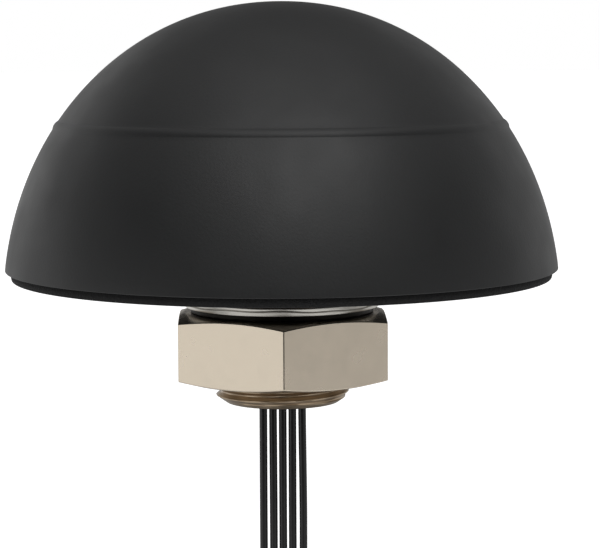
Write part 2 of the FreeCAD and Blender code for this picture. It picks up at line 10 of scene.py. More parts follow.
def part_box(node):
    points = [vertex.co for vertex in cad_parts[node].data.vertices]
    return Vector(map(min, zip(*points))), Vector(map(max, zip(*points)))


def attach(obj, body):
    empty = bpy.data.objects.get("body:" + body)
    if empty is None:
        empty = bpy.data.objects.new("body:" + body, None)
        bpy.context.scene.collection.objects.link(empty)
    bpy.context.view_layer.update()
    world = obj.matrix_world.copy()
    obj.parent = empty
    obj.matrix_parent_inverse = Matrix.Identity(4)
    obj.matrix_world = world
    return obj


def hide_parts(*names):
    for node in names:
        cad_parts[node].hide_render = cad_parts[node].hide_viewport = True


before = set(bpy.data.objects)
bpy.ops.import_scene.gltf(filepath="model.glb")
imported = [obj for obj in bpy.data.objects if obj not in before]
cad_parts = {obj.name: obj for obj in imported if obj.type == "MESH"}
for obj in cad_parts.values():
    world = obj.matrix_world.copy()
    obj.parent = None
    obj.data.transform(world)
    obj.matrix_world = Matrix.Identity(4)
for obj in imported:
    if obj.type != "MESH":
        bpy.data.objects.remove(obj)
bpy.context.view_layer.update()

bl_info = {
    "name": "Dome antenna on a threaded stud",
    "version": (1, 0, 0),
    "blender": (4, 5, 0),
    "location": "View3D > Sidebar > Antenna",
    "description": "Builds the dome, stud, nut, washers, leads and plugs round the fixed frame",
    "category": "Object",
}

MM = 0.001
TURN = 2 * math.pi
LEADS = range(1, 6)

# Places that come from the frame
SHELL_LOW, SHELL_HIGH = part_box("radome_shell")
PLATE_LOW, PLATE_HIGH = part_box("base_plate")
GASKET_LOW, GASKET_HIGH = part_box("mounting_gasket")
STUD_LOW, STUD_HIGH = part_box("threaded_stud")
FLAT_LOW, FLAT_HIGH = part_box("flat_washer")
LOCK_LOW, LOCK_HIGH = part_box("lock_washer")
NUT_LOW, NUT_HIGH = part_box("hex_nut")
GLAND_LOW, GLAND_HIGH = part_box("lead_gland")
TIE_LOW, TIE_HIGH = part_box("hank_tie")
FLOOR_LEVEL = min(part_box(f"plug_{n}_nut")[0].z for n in LEADS) - 15 * MM


def linear(hex_colour):
    """An sRGB hex colour as linear red, green, blue and an alpha of one."""
    channels = [int(hex_colour[k : k + 2], 16) / 255 for k in (0, 2, 4)]
    return (*[c / 12.92 if c <= 0.04045 else ((c + 0.055) / 1.055) ** 2.4 for c in channels], 1.0)


def length(name, description, millimetres):
    """A length setting, given in millimetres and kept in metres."""
    return FloatProperty(name=name, description=description, default=millimetres * MM, unit="LENGTH")


def colour(name, description, hex_colour):
    """A colour setting, given as sRGB hex and kept linear."""
    return FloatVectorProperty(
        name=name, description=description, default=linear(hex_colour), size=4, subtype="COLOR", min=0, max=1
    )


# ---------------------------------------------------------------- settings
class RadomeSettings(PropertyGroup):
    """The dome, whose outline is (r/a)^p + (z/b)^p = 1 above the level of its widest place."""

    outline_radius: length("Outline radius", "Widest radius of the outline, a", 62.15)
    outline_level: length("Outline level", "Height of the widest place, below the rim", -7.95)
    outline_power: FloatProperty(name="Outline power", description="2 is an ellipse, more is squarer", default=2.057)
    wall: length("Wall", "Thickness of the shell", 2.6)
    rim_rounding: length("Rim rounding", "Rounding of the rim's edges", 0.4)
    bead_level: length("Bead level", "Height of the raised bead's middle", 34.1)
    bead_height: length("Bead height", "Height of the raised bead", 1.9)
    bead_proud: length("Bead proud", "How far the bead stands out", 0.3)
    boss_circle: length("Boss circle", "Radius of the circle of screw bosses", 47.0)
    boss_radius: length("Boss radius", "Outer radius of a screw boss", 3.6)
    pilot_radius: length("Pilot radius", "Radius of a boss's screw hole", 1.3)
    pilot_depth: length("Pilot depth", "Depth of a boss's screw hole", 9.0)


class FastenerSettings(PropertyGroup):
    """The stud, its nut and the washers."""

    thread_pitch: length("Thread pitch", "Rise of the thread in one turn", 2.0)
    thread_start: length("Thread start", "Level that a crest passes at +X", 0.3)
    thread_depth: length("Thread depth", "From the thread's crest to its root", 1.1)
    thread_gap: length("Thread gap", "Play between the two threads", 0.08)
    crest_radius: length("Crest radius", "The stud's radius over its thread", 14.97)
    end_radius: length("End radius", "The stud's radius at its chamfered end", 12.7)
    end_slope: FloatProperty(name="End slope", description="Width of the end's chamfer over its height", default=1.44)
    stud_bore: length("Stud bore", "Radius of the hole for the leads", 9.5)
    flange_half_flats: length("Flange flats", "From the axis to a flat of the stud's flange", 18.0)
    nut_flats: length("Nut across flats", "Width of the nut over two flats", 46.0)
    nut_corner: length("Nut corner", "Rounding of the nut's upright edges", 0.5)
    nut_chamfer_radius: length("Nut chamfer start", "Where the nut's chamfer starts on its face", 22.1)
    nut_chamfer_degrees: FloatProperty(name="Nut chamfer", description="Slope of the chamfer", default=15.4)
    nut_mouth: length("Nut mouth", "Countersink of the nut's thread", 1.2)
    nut_clocking: FloatProperty(name="Nut clocking", description="How far the nut is turned, in degrees", default=1.2)
    washer_bore: length("Washer bore", "Radius of the flat washer's hole", 15.4)
    lock_bore: length("Lock washer bore", "Radius inside the lock washer's teeth", 15.5)
    tooth_depth: length("Tooth depth", "Length of a lock washer's tooth", 2.6)
    tooth_count: IntProperty(name="Teeth", description="Teeth of the lock washer", default=24)
    tooth_twist: length("Tooth twist", "How far a tooth's corner stands out of the washer", 0.22)


class LeadSettings(PropertyGroup):
    """The five leads and what ends them."""

    diameter: length("Diameter", "Outer diameter of a lead", 1.8)
    pitch: length("Pitch", "From one lead to the next where they leave the stud", 2.18)
    piece_length: length("Length", "Length of each lead from the potting to its plug", 315)
    inner_bend: length("Inner bend", "Bend radius of the leads inside the dome", 8.99)
    tie_thickness: length("Tie thickness", "Thickness of the tie's strap", 1.0)
    tie_width: length("Tie width", "Width of the tie's strap", 4.8)
    tie_head: length("Tie head", "Length of the tie's head", 5.6)
    tie_tail: length("Tie tail", "How far the cut end comes out of the head", 2.4)
    tie_tail_gap: length("Tie tail gap", "Between the strap and its cut end", 0.6)


class FinishSettings(PropertyGroup):
    """Base colours, as each finish has them."""

    radome: colour("Radome", "Grained black ABS", "0b0c0d")
    base: colour("Base", "Moulded black ABS", "1c1c1d")
    foam: colour("Foam", "Closed-cell foam", "0b0b0c")
    rubber: colour("Rubber", "Nitrile rubber", "141414")
    nut: colour("Nut", "Nickel plate over machined brass", "d5c9b7")
    stud: colour("Stud", "Nickel plate over a rolled thread", "a8967f")
    washer: colour("Washer", "Zinc plate over stamped steel", "c9c6bf")
    # The lock washer's dark colour is partly its phosphate coat and partly painted shade for the shadow under the
    # flat washer
    lock: colour("Lock washer", "Phosphated spring steel", "2a2825")
    screws: colour("Screws", "Stainless steel", "cfcfd0")
    board: colour("Board", "Solder-masked laminate", "17452a")
    copper: colour("Copper", "Tinned copper tracks", "c9a06a")
    tinplate: colour("Tinplate", "Tin-plated steel", "d6d8da")
    ceramic: colour("Ceramic", "Fired microwave ceramic", "cbbfa8")
    mast: colour("Mast", "Natural nylon", "e2dfd2")
    potting: colour("Potting", "Cast black epoxy", "101011")
    jacket: colour("Jacket", "Extruded black PVC", "070708")
    boot: colour("Boot", "Black heat-shrink sleeve", "161617")
    tie: colour("Tie", "Moulded black nylon", "18181a")
    gold: colour("Gold", "Gold plate over turned brass", "e6c176")
    ptfe: colour("PTFE", "Turned white PTFE", "f1f0ea")


class StageSettings(PropertyGroup):
    """The camera, the floor and the light."""

    camera_side: length("Camera side", "How far right of the axis the camera stands", 4.06)
    camera_back: length("Camera distance", "From the axis to the camera along Y", 501.07)
    camera_height: length("Camera height", "Height of the camera above the mounting face", 54.08)
    camera_pitch: FloatProperty(name="Camera pitch", description="How far it looks down, in degrees", default=6.12)
    camera_roll: FloatProperty(name="Camera roll", description="How far it leans, in degrees", default=-0.27)
    lens: FloatProperty(name="Lens", description="Focal length in millimetres", default=134.94)
    key_power: FloatProperty(name="Key light", description="Power of the key light in watts", default=6.5)
    floor_glow: FloatProperty(name="Floor glow", description="Light that the floor gives off", default=0.62)
    floor_half: length("Floor half", "Half the floor's width", 12000)
    floor: colour("Floor", "Matt white floor", "f4f4f4")


class AntennaSettings(PropertyGroup):
    """Everything that a user would change."""

    radome: PointerProperty(type=RadomeSettings)
    fasteners: PointerProperty(type=FastenerSettings)
    leads: PointerProperty(type=LeadSettings)
    finishes: PointerProperty(type=FinishSettings)
    stage: PointerProperty(type=StageSettings)


def settings():
    """This scene's settings."""
    return bpy.context.scene.antenna


# ---------------------------------------------------------------- surfaces
def grid_faces(rows, columns, wrap_rows):
    """Corner numbers of the quads on a grid of points whose columns wrap round."""
    row = np.arange(rows if wrap_rows else rows - 1)[:, None]
    column = np.arange(columns)[None, :]
    below = (row + 1) % rows
    beside = (column + 1) % columns
    corners = [row * columns + column, row * columns + beside, below * columns + beside, below * columns + column]
    return np.stack(np.broadcast_arrays(*corners), axis=-1).reshape(-1, 4)


def closed_surface(points, wrap_rows):
    """Merged points and outward faces of one closed surface, from a grid of shape (rows, columns, 3).

    The columns wrap round. The rows wrap too, or else the first and last are each one point, a pole.
    Points that coincide are merged, so that poles close. A surface whose signed volume, the sum of
    a . (b x c) over its triangles, is negative is inside out, and its faces are turned over."""
    if not np.isfinite(points).all():
        raise ValueError("a surface has a point that isn't finite")
    faces = grid_faces(points.shape[0], points.shape[1], wrap_rows)
    points = points.reshape(-1, 3)
    keys = np.round(points * 1e9).astype(np.int64)
    _, first, merged = np.unique(keys, axis=0, return_index=True, return_inverse=True)
    points = points[first]
    faces = merged.reshape(-1)[faces]
    a, b, c, d = (points[faces[:, k]] for k in range(4))
    volume = (a * np.cross(b, c)).sum() + (a * np.cross(c, d)).sum()
    start_shut = faces[:, 0] == faces[:, 1]
    end_shut = faces[:, 2] == faces[:, 3]
    quads = faces[~start_shut & ~end_shut]
    triangles = np.concatenate([faces[start_shut & ~end_shut][:, 1:], faces[end_shut & ~start_shut][:, :3]])
    if volume < 0:
        quads, triangles = quads[:, ::-1], triangles[:, ::-1]
    return points, quads, triangles


def add_piece(name, surfaces, material, body="root", nodes=(), sharp=40.0):
    """Makes a piece from closed surfaces, each (points, wrap_rows), and lets it ride on its body."""
    points, faces, count = [], [], 0
    for grid, wrap_rows in surfaces:
        place, quads, triangles = closed_surface(grid, wrap_rows)
        points.append(place)
        faces += (quads + count).tolist() + (triangles + count).tolist()
        count += len(place)
    mesh = bpy.data.meshes.new(name)
    mesh.from_pydata(np.concatenate(points), [], faces)
    mesh.shade_smooth()
    mesh.set_sharp_from_angle(angle=math.radians(sharp))
    mesh.materials.append(material)
    piece = bpy.data.objects.new(name, mesh)
    bpy.context.scene.collection.objects.link(piece)
    piece.modifiers.new("Even shading", "WEIGHTED_NORMAL").keep_sharp = True
    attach(piece, body)
    if nodes:
        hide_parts(*nodes)
    return piece


def around(count):
    """Evenly spaced angles round a turn."""
    return np.arange(count) * TURN / count


def turned(profile, angles, x=0.0, y=0.0):
    """Carries an (r, z) profile round an upright axis: x + r cos(angle), y + r sin(angle), z.

    The profile has the shape (points, 2), or (angles, points, 2) where it changes round the axis."""
    profile = np.broadcast_to(profile, (len(angles), *np.shape(profile)[-2:]))
    r, z = profile[..., 0].T, profile[..., 1].T
    return np.stack([x + r * np.cos(angles), y + r * np.sin(angles), z], axis=-1)


def rounded(corners, cut, steps=5, closed=True):
    """Softens the corners of an (r, z) profile.

    Each corner becomes the curve (1-t)^2 a + 2t(1-t) corner + t^2 b, where a and b lie one cut away
    from it on its two sides. An open profile keeps its two ends."""
    corners = np.asarray(corners, float)
    if closed:
        before, middle, after = np.roll(corners, 1, axis=-2), corners, np.roll(corners, -1, axis=-2)
    else:
        before, middle, after = corners[..., :-2, :], corners[..., 1:-1, :], corners[..., 2:, :]
    cut = np.broadcast_to(cut, middle.shape[:-1])[..., None]
    back, ahead = before - middle, after - middle
    back = middle + back / np.linalg.norm(back, axis=-1, keepdims=True) * cut
    ahead = middle + ahead / np.linalg.norm(ahead, axis=-1, keepdims=True) * cut
    t = np.linspace(0, 1, steps)[:, None]
    curve = (1 - t) ** 2 * back[..., None, :] + 2 * t * (1 - t) * middle[..., None, :] + t**2 * ahead[..., None, :]
    curve = curve.reshape(*curve.shape[:-3], -1, 2)
    if closed:
        return curve
    return np.concatenate([corners[..., :1, :], curve, corners[..., -1:, :]], axis=-2)


def profile_round(angles, *corners):
    """Stacks (r, z) corners, each a number or one value for each angle, as (angles, corners, 2)."""
    columns = [np.stack(np.broadcast_arrays(r, z, angles)[:2], axis=-1) for r, z in corners]
    return np.stack(columns, axis=1).astype(float)


def hexagon_radius(angle, across_flats, corner_radius):
    """From the axis to a hexagon with rounded corners, one of which points to -Y.

    On a flat it is half the width over the cosine of the angle from the flat's middle. On a corner
    it is where the ray meets the corner's circle, c cos(u) + sqrt(q^2 - c^2 sin(u)^2)."""
    flat = across_flats / 2
    from_corner = (angle + TURN / 4 + TURN / 12) % (TURN / 6) - TURN / 12
    from_flat = TURN / 12 - np.abs(from_corner)
    centre = (flat - corner_radius) / math.cos(TURN / 12)
    root = np.sqrt(np.maximum(corner_radius**2 - (centre * np.sin(from_corner)) ** 2, 0))
    on_flat = np.tan(from_flat) * flat < centre * math.sin(TURN / 12)
    return np.where(on_flat, flat / np.cos(from_flat), centre * np.cos(from_corner) + root)


def hexagon_angles(per_side):
    """Angles round a hexagon, closer together near its corners: u^2.2 from each corner."""
    share = np.linspace(-1, 1, per_side, endpoint=False)
    side = np.sign(share) * np.abs(share) ** 2.2 * TURN / 12
    return (side[None, :] + np.arange(6)[:, None] * TURN / 6 - TURN / 4).reshape(-1)


def thread_groove(angle, z, own):
    """How far a right-hand thread lies below its crest.

    The place along the pitch is (z - start)/pitch - angle/turn. A groove's side rises evenly from its root
    to its crest, an eighth of the pitch stays flat at the crest, and the root is rounded by a sine."""
    depth = own.thread_depth
    place = (z - own.thread_start) / own.thread_pitch - angle / TURN
    from_crest = 2 * np.abs(place - np.round(place))
    share = np.clip((from_crest - 0.125) / 0.75, 0, 1)
    eased = np.where(share > 0.75, 0.75 + 0.25 * np.sin((share - 0.75) * TURN / 4 * 4), share)
    return depth * eased


def swept(centre, across, up, section):
    """Carries a closed section (points, 2) along a path, with across and up as its two directions.

    Each end is shut by a pole at its own centre."""
    body = centre[:, None] + section[None, :, :1] * across[:, None] + section[None, :, 1:] * up[:, None]
    first = np.broadcast_to(centre[:1, None], body[:1].shape)
    last = np.broadcast_to(centre[-1:, None], body[-1:].shape)
    return np.concatenate([first, body, last])


# ---------------------------------------------------------------- finishes
def add_node(tree, kind, inputs=None, **values):
    """Adds a node, sets its properties, and sets or links its inputs."""
    node = tree.nodes.new(kind)
    for name, value in values.items():
        setattr(node, name, value)
    for name, value in (inputs or {}).items():
        if isinstance(value, bpy.types.NodeSocket):
            tree.links.new(value, node.inputs[name])
        else:
            node.inputs[name].default_value = value
    return node


def new_finish(name, base, roughness, **values):
    """A material with its shader's own values set. Returns it, its tree, its shader and its place."""
    material = bpy.data.materials.new(name)
    material.use_nodes = True
    tree = material.node_tree
    shader = tree.nodes["Principled BSDF"]
    shader.inputs["Base Color"].default_value = base
    shader.inputs["Roughness"].default_value = roughness
    for socket, value in values.items():
        shader.inputs[socket.replace("_", " ").title().replace("Ior", "IOR")].default_value = value
    place = add_node(tree, "ShaderNodeTexCoord").outputs["Object"]
    return material, tree, shader, place


def per_metre(millimetres):
    """The texture scale whose features are this far apart."""
    return 1 / (millimetres * MM)


def shade(tree, factor, low, high):
    """A value that runs from low to high as the factor runs from 0.3 to 0.7, where noise mostly lies."""
    inputs = {"Value": factor, "From Min": 0.3, "From Max": 0.7, "To Min": low, "To Max": high}
    return add_node(tree, "ShaderNodeMapRange", inputs).outputs[0]


def tint(colour_value, share):
    """The colour with its red, green and blue scaled."""
    return (*[min(1.0, c * share) for c in colour_value[:3]], 1.0)


def grained_abs(base):
    """Injection-moulded ABS from a spark-eroded tool: a fine even grain that blurs its reflections."""
    material, tree, shader, place = new_finish("grained_moulded_abs", base, 0.5, ior=1.5)
    grain = add_node(tree, "ShaderNodeTexNoise", {"Vector": place, "Scale": per_metre(0.55), "Detail": 3.0})
    cloud = add_node(tree, "ShaderNodeTexNoise", {"Vector": place, "Scale": per_metre(14), "Detail": 2.0})
    rough = shade(tree, cloud.outputs[0], 0.47, 0.56)
    tone = add_node(
        tree,
        "ShaderNodeMix",
        {0: shade(tree, grain.outputs[0], 0.0, 1.0), 6: tint(base, 0.9), 7: tint(base, 1.12)},
        data_type="RGBA",
    )
    bump = add_node(
        tree, "ShaderNodeBump", {"Height": grain.outputs[0], "Strength": 0.22, "Distance": 0.12 * MM}
    )
    tree.links.new(tone.outputs[2], shader.inputs["Base Color"])
    tree.links.new(rough, shader.inputs["Roughness"])
    tree.links.new(bump.outputs[0], shader.inputs["Normal"])
    return material


def speckled(name, base, roughness, feature, strength, distance, **values):
    """A plain moulded, cast or extruded finish: one noise gives its small tone change and its relief."""
    material, tree, shader, place = new_finish(name, base, roughness, **values)
    noise = add_node(tree, "ShaderNodeTexNoise", {"Vector": place, "Scale": per_metre(feature), "Detail": 4.0})
    tone = add_node(
        tree,
        "ShaderNodeMix",
        {0: shade(tree, noise.outputs[0], 0.0, 1.0), 6: tint(base, 0.85), 7: tint(base, 1.15)},
        data_type="RGBA",
    )
    bump = add_node(
        tree, "ShaderNodeBump", {"Height": noise.outputs[0], "Strength": strength, "Distance": distance * MM}
    )
    tree.links.new(tone.outputs[2], shader.inputs["Base Color"])
    tree.links.new(shade(tree, noise.outputs[0], roughness * 0.9, roughness * 1.1), shader.inputs["Roughness"])
    tree.links.new(bump.outputs[0], shader.inputs["Normal"])
    return material


def plated(name, base, roughness, mark_width, mark_length, strength, stain=0.08):
    """Plated metal over a worked surface: faint lines from the tool, and cloudy patches in the plate.

    The lines are noise stretched along the marks, mark_width apart, across the Z axis."""
    material, tree, shader, place = new_finish(name, base, roughness, metallic=1.0)
    stretch = (per_metre(mark_length), per_metre(mark_length), per_metre(mark_width))
    lines_at = add_node(tree, "ShaderNodeMapping", {"Vector": place, "Scale": stretch})
    lines = add_node(tree, "ShaderNodeTexNoise", {"Vector": lines_at.outputs[0], "Scale": 1.0, "Detail": 1.0})
    cloud = add_node(tree, "ShaderNodeTexNoise", {"Vector": place, "Scale": per_metre(6), "Detail": 3.0})
    tone = add_node(
        tree,
        "ShaderNodeMix",
        {0: shade(tree, cloud.outputs[0], 0.0, 1.0), 6: tint(base, 1 - stain), 7: tint(base, 1 + stain / 2)},
        data_type="RGBA",
    )
    bump = add_node(
        tree, "ShaderNodeBump", {"Height": lines.outputs[0], "Strength": strength, "Distance": 0.02 * MM}
    )
    tree.links.new(tone.outputs[2], shader.inputs["Base Color"])
    tree.links.new(shade(tree, cloud.outputs[0], roughness * 0.85, roughness * 1.2), shader.inputs["Roughness"])
    tree.links.new(bump.outputs[0], shader.inputs["Normal"])
    return material


def masked_board(base, copper):
    """Etched laminate under green solder mask: tracks show as paler bands that stand up a little.

    The tracks are drawn 1.2 mm apart, wider than real ones, so that they show."""
    material, tree, shader, place = new_finish("masked_laminate", base, 0.35, ior=1.5, coat_weight=0.3)
    bands = add_node(
        tree,
        "ShaderNodeTexWave",
        {"Vector": place, "Scale": per_metre(1.2) / TURN * 2, "Distortion": 1.5, "Detail": 1.0},
        bands_direction="Z",
    )
    share = add_node(
        tree, "ShaderNodeMapRange", {"Value": bands.outputs["Fac"], "From Min": 0.55, "From Max": 0.65}
    )
    mix = tuple(0.75 * b + 0.25 * c for b, c in zip(base, copper))
    tone = add_node(tree, "ShaderNodeMix", {0: share.outputs[0], 6: tuple(base), 7: mix}, data_type="RGBA")
    bump = add_node(tree, "ShaderNodeBump", {"Height": share.outputs[0], "Strength": 0.4, "Distance": 0.05 * MM})
    tree.links.new(tone.outputs[2], shader.inputs["Base Color"])
    tree.links.new(bump.outputs[0], shader.inputs["Normal"])
    return material


def make_finishes():
    """Every finish, under the name of the record's slot that it belongs to."""
    own = settings().finishes
    return {
        "radome_abs": grained_abs(tuple(own.radome)),
        # Moulded ABS with a plain satin tool finish: even, with faint flow marks
        "base_moulding": speckled("moulded_abs", tuple(own.base), 0.42, 1.5, 0.15, 0.05, ior=1.5),
        # Closed-cell foam: its cut cells swallow light, so it is the darkest part
        "gasket_foam": speckled("closed_cell_foam", tuple(own.foam), 0.9, 0.45, 0.8, 0.25, ior=1.45),
        # Moulded nitrile rubber: dull, with a slight bloom
        "seal_rubber": speckled("nitrile_rubber", tuple(own.rubber), 0.65, 0.8, 0.2, 0.05, ior=1.52),
        # Nickel plate over milled flats: pale and warm, with faint cutter lines
        "nickel_nut": plated("nickel_plated_brass", tuple(own.nut), 0.24, 0.3, 12.0, 0.03, 0.08),
        # Nickel plate over a rolled thread: thin, brownish and more worn
        "nickel_stud": plated("nickel_plated_thread", tuple(own.stud), 0.3, 0.3, 4.0, 0.2, 0.2),
        # Zinc plate over stamped steel: bright, uneven, with a torn lower half on its cut edge
        "washer_steel": plated("zinc_plated_steel", tuple(own.washer), 0.3, 0.4, 1.6, 0.3, 0.15),
        # Phosphated spring steel: a dark crystalline coat, with bare metal where the tool rubbed it. Its dark base is
        # partly the coat's own colour and partly painted shade, standing in for the shadow under the flat washer
        "spring_steel": plated("phosphated_steel_with_painted_shade", tuple(own.lock), 0.5, 0.5, 1.0, 0.4, 0.3),
        "screw_steel": plated("stainless_steel", tuple(own.screws), 0.28, 0.2, 2.0, 0.2),
        "board_laminate": masked_board(tuple(own.board), tuple(own.copper)),
        # Hot-dipped tinplate: soft reflections and cloudy spangle
        "plane_tinplate": plated("tinplate", tuple(own.tinplate), 0.25, 1.0, 3.0, 0.1, 0.1),
        # Fired ceramic: fine speckle and a dull face
        "patch_ceramic": speckled("microwave_ceramic", tuple(own.ceramic), 0.55, 0.6, 0.15, 0.03, ior=1.6),
        # Moulded natural nylon: cloudy white, a little light goes into it
        "mast_nylon": speckled("natural_nylon", tuple(own.mast), 0.4, 2.0, 0.1, 0.05, subsurface_weight=0.1),
        # Cast epoxy: glossy where it levelled itself, with slight ripples
        "potting_resin": speckled("cast_epoxy", tuple(own.potting), 0.18, 3.0, 0.25, 0.2, ior=1.55),
        # Extruded PVC: smooth and satin, with faint lines along its length
        "lead_jacket": speckled("extruded_pvc", tuple(own.jacket), 0.22, 0.9, 0.1, 0.03, ior=1.46),
        # Shrunk polyolefin sleeve: satin, with small ripples where it gripped
        "boot_sleeve": speckled("heat_shrink_sleeve", tuple(own.boot), 0.5, 1.2, 0.35, 0.08, ior=1.5),
        "tie_nylon": speckled("moulded_nylon", tuple(own.tie), 0.35, 1.6, 0.12, 0.04, ior=1.53),
        # Gold plate over turned brass: bright, with fine lathe rings
        "plug_gold": plated("gold_plated_brass", tuple(own.gold), 0.16, 0.15, 5.0, 0.1),
        # Turned PTFE: waxy white, soft highlights
        "plug_ptfe": speckled("turned_ptfe", tuple(own.ptfe), 0.45, 0.5, 0.08, 0.02, subsurface_weight=0.15),
    }


FINISHES = {}


# ---------------------------------------------------------------- operators
class ANTENNA_OT_stage(Operator):
    """Adds the camera, the pale floor and the soft light"""

    bl_idname = "antenna.stage"
    bl_label = "Stage"

    def execute(self, context):
        own = settings().stage
        camera = bpy.data.objects.new("camera", bpy.data.cameras.new("camera"))
        camera.data.lens = own.lens
        camera.data.sensor_width = 36.0
        camera.data.clip_start = 10 * MM
        camera.data.clip_end = 100.0
        camera.location = (own.camera_side, -own.camera_back, own.camera_height)
        level = Matrix.Rotation(math.radians(90 - own.camera_pitch), 3, "X")
        camera.rotation_euler = (level @ Matrix.Rotation(math.radians(own.camera_roll), 3, "Z")).to_euler()
        context.scene.collection.objects.link(camera)
        context.scene.camera = camera
        self.add_floor(context, own)
        self.add_world(context)
        self.add_light(context, "key_panel", (0.3, -1.0, 1.25), 1.2, own.key_power)
        # Cards that only show in reflections, as a studio has them: a dark one round the camera, and a
        # pale one on each side, the right one greyer, which tells the nut's two faces apart
        upright = (-0.35, 0.06)
        self.add_card(context, "front_card", self.wall((-0.72, -0.9), (0.66, -0.9), -0.3, 0.04), 0.02)
        self.add_card(context, "right_card", self.wall((0.62, -0.85), (1.1, 0.1), *upright), 0.61)
        self.add_card(context, "left_card", self.wall((-1.1, 0.1), (-0.68, -0.85), *upright), 1.05)
        # Two more lie below, with a dark gap between them, and light the stud's end from underneath
        self.add_card(context, "left_low_card", self.sheet(-0.3, -0.006, -0.5, 0.05), 0.85)
        self.add_card(context, "right_low_card", self.sheet(0.02, 0.3, -0.5, 0.05), 0.9)
        context.scene.view_settings.view_transform = "Standard"
        return {"FINISHED"}

    def add_flat(self, context, name, corners, material):
        """One flat four-sided piece of the stage."""
        mesh = bpy.data.meshes.new(name)
        mesh.from_pydata(corners, [], [(0, 1, 2, 3)])
        mesh.materials.append(material)
        flat = bpy.data.objects.new(name, mesh)
        context.scene.collection.objects.link(flat)
        return flat

    def add_floor(self, context, own):
        """One large flat square below the plugs. It glows a little, as a light table does."""
        half = own.floor_half
        corners = [(x * half, y * half, FLOOR_LEVEL) for x, y in ((-1, -1), (1, -1), (1, 1), (-1, 1))]
        material, _, shader, _ = new_finish("matt_painted_board", tuple(own.floor), 0.9)
        shader.inputs["Emission Color"].default_value = (1.0, 1.0, 1.0, 1.0)
        shader.inputs["Emission Strength"].default_value = own.floor_glow
        self.add_flat(context, "floor", corners, material).visible_glossy = False

    def wall(self, left, right, low, high):
        """The corners of an upright rectangle from one (x, y) to another."""
        return [(*left, low), (*right, low), (*right, high), (*left, high)]

    def sheet(self, left, right, front, back):
        """The corners of a rectangle that lies just above the floor."""
        level = FLOOR_LEVEL + 1 * MM
        return [(left, front, level), (right, front, level), (right, back, level), (left, back, level)]

    def add_card(self, context, name, corners, grey):
        """A glowing card that only reflections show."""
        material = bpy.data.materials.new(name)
        material.use_nodes = True
        tree = material.node_tree
        tree.nodes.clear()
        glow = add_node(tree, "ShaderNodeEmission", {"Color": (grey, grey, grey, 1.0), "Strength": 1.0})
        add_node(tree, "ShaderNodeOutputMaterial", {0: glow.outputs[0]})
        card = self.add_flat(context, name, corners, material)
        card.visible_camera = False
        card.visible_diffuse = False
        card.visible_shadow = False
        card.visible_transmission = False

    def add_world(self, context):
        """A pale room, seen plain by the camera.

        Its light is a dim base and three soft glows, each a smooth rise of the dot product with the
        glow's direction: overhead, high in front, and low behind."""
        world = bpy.data.worlds.new("room")
        world.use_nodes = True
        context.scene.world = world
        tree = world.node_tree
        tree.nodes.clear()
        direction = add_node(tree, "ShaderNodeTexCoord").outputs["Generated"]
        total = 0.13
        glows = [
            ((0.05, -0.2, 0.98), 0.5, 1.0, 0.72),
            ((0.1, -0.72, 0.68), 0.7, 1.0, 0.5),
            ((-0.72, 0.69, 0.0), 0.6, 1.0, 0.85),
            ((0.72, 0.69, 0.0), 0.6, 1.0, 0.6),
        ]
        for towards, start, full, strength in glows:
            facing = add_node(tree, "ShaderNodeVectorMath", {0: direction, 1: towards}, operation="DOT_PRODUCT")
            inputs = {"Value": facing.outputs["Value"], "From Min": start, "From Max": full, "To Max": strength}
            glow = add_node(tree, "ShaderNodeMapRange", inputs, interpolation_type="SMOOTHSTEP")
            total = add_node(tree, "ShaderNodeMath", {0: total, 1: glow.outputs[0]}, operation="ADD").outputs[0]
        room = add_node(tree, "ShaderNodeBackground", {"Color": (1.0, 1.0, 1.0, 1.0), "Strength": total})
        plain = add_node(tree, "ShaderNodeBackground", {"Color": (1.0, 1.0, 1.0, 1.0), "Strength": 1.0})
        seen = add_node(tree, "ShaderNodeLightPath").outputs["Is Camera Ray"]
        mix = add_node(tree, "ShaderNodeMixShader", {0: seen, 1: room.outputs[0], 2: plain.outputs[0]})
        add_node(tree, "ShaderNodeOutputWorld", {0: mix.outputs[0]})

    def add_light(self, context, name, place, size, power):
        """A square soft light that faces the antenna's middle."""
        light = bpy.data.lights.new(name, "AREA")
        light.shape = "SQUARE"
        light.size = size
        light.energy = power
        holder = bpy.data.objects.new(name, light)
        holder.location = place
        holder.rotation_euler = (-Vector(place)).to_track_quat("-Z", "Y").to_euler()
        context.scene.collection.objects.link(holder)


def lead_sides(own, number):
    """A lead's own x, and the x and y of its plug's axis."""
    low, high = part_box(f"plug_{number}_nut")
    return (number - 3) * own.pitch, (low.x + high.x) / 2, (low.y + high.y) / 2


# The leads' common way, (y, z) in millimetres: down out of the potting, through the tie, twice round
# the lower and upper loops, and down past the outside of the lower loop.
WAY = [
    (0, -26.4), (0, -31), (0, -58), (0, -74), (0, -86), (0, -92), (0.8, -97.4), (4.9, -102.6),
    (4.9, -107.4), (1.4, -110.9), (-3.4, -110.9), (-6.9, -107.4), (-6.9, -102.6), (-2.6, -97.4), (-2, -92),
    (-2, -86), (-2.5, -80), (-2.5, -73.6), (-6.0, -70.1), (-10.8, -70.1), (-14.3, -73.6), (-14.3, -78.3),
    (-10.9, -81.7), (-6.6, -84.8), (-4.1, -88.6), (-4, -94), (-4.6, -98), (-9.0, -102.4), (-9.0, -108.3),
    (-4.3, -112.9), (2.3, -112.9), (6.9, -108.3), (6.9, -101.4), (2.7, -96.0), (2, -91.5),
    (2, -86), (2.5, -80), (2.5, -73.6), (6.0, -70.1), (10.8, -70.1), (14.3, -73.6), (14.3, -78.3),
    (10.9, -81.7), (6.6, -84.8), (4.1, -88.6), (4.2, -93), (7.6, -97.6), (9.2, -103),
]  # fmt: skip
